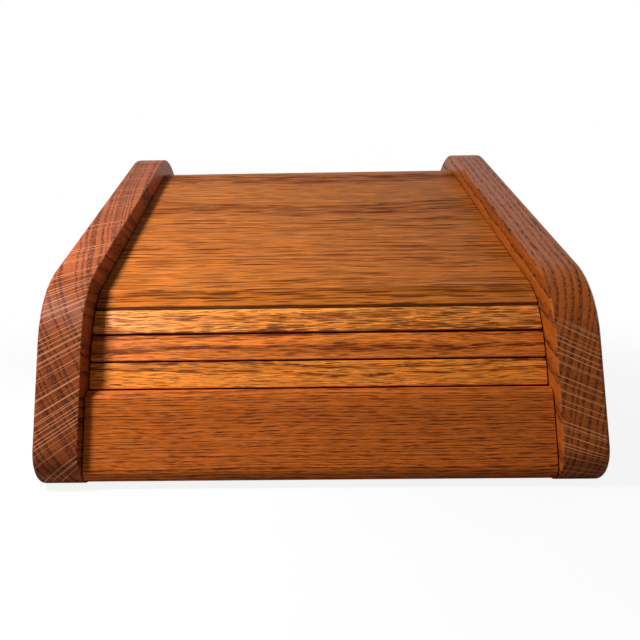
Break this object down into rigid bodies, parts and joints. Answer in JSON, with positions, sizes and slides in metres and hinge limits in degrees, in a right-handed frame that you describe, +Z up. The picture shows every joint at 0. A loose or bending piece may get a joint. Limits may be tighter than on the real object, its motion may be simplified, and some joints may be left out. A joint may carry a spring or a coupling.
{
  "type": "desk letter box",
  "caption": "Low oak desk box for letters: thick side boards, a sloping panel and narrow slats that slide back together on a lead rail.",
  "frame": {"origin": "middle of the footprint, on the surface that the box stands on", "axes": "+X across the box to the right as seen from the front, +Y from the front to the back, +Z up"},
  "size_m": [0.2922, 0.323, 0.183],
  "materials": {
    "side_oak": "satin lacquer",
    "lid_oak": "satin lacquer",
    "slat_oak": "satin lacquer",
    "rail_oak": "satin lacquer",
    "inner_oak": "thin oil",
    "dowel_beech": "bare",
    "screw_steel": "yellow zinc plated"
  },
  "bodies": {
    "case": {"left_side": "side_oak", "right_side": "side_oak", "base_board": "inner_oak", "back_board": "inner_oak", "rear_cap": "lid_oak", "cap_dowels": "dowel_beech"},
    "lid": {"lid_panel": "lid_oak", "stop_block_left": "inner_oak", "stop_block_right": "inner_oak", "stop_screws": "screw_steel"},
    "slat_1": {"slat_1": "slat_oak"},
    "slat_2": {"slat_2": "slat_oak"},
    "slat_3": {"slat_3": "slat_oak"},
    "rail": {"lead_rail": "rail_oak"}
  },
  "joints": [
    {"name": "lid_slide", "type": "slide", "parent": "case", "child": "lid", "axis": [0, 0.9397, 0.342], "range_m": [0, 0.095]},
    {"name": "panel_joint", "type": "hinge", "parent": "lid", "child": "slat_1", "pos_m": [0, -0.11519, 0.08801], "axis": [-1, 0, 0], "range_deg": [0, 34]},
    {"name": "slat_joint_1", "type": "hinge", "parent": "slat_1", "child": "slat_2", "pos_m": [0, -0.12383, 0.07611], "axis": [-1, 0, 0], "range_deg": [0, 10]},
    {"name": "slat_joint_2", "type": "hinge", "parent": "slat_2", "child": "slat_3", "pos_m": [0, -0.13028, 0.0629], "axis": [-1, 0, 0], "range_deg": [0, 5.5]},
    {"name": "rail_joint", "type": "hinge", "parent": "slat_3", "child": "rail", "pos_m": [0, -0.13542, 0.04913], "axis": [-1, 0, 0], "range_deg": [0, 1.5]}
  ],
  "couplings": [
    {"joint": "panel_joint", "follows": "lid_slide", "rad_per_m": 6.2464},
    {"joint": "slat_joint_1", "follows": "lid_slide", "rad_per_m": 1.8372},
    {"joint": "slat_joint_2", "follows": "lid_slide", "rad_per_m": 1.0104},
    {"joint": "rail_joint", "follows": "lid_slide", "rad_per_m": 0.27558}
  ]
}
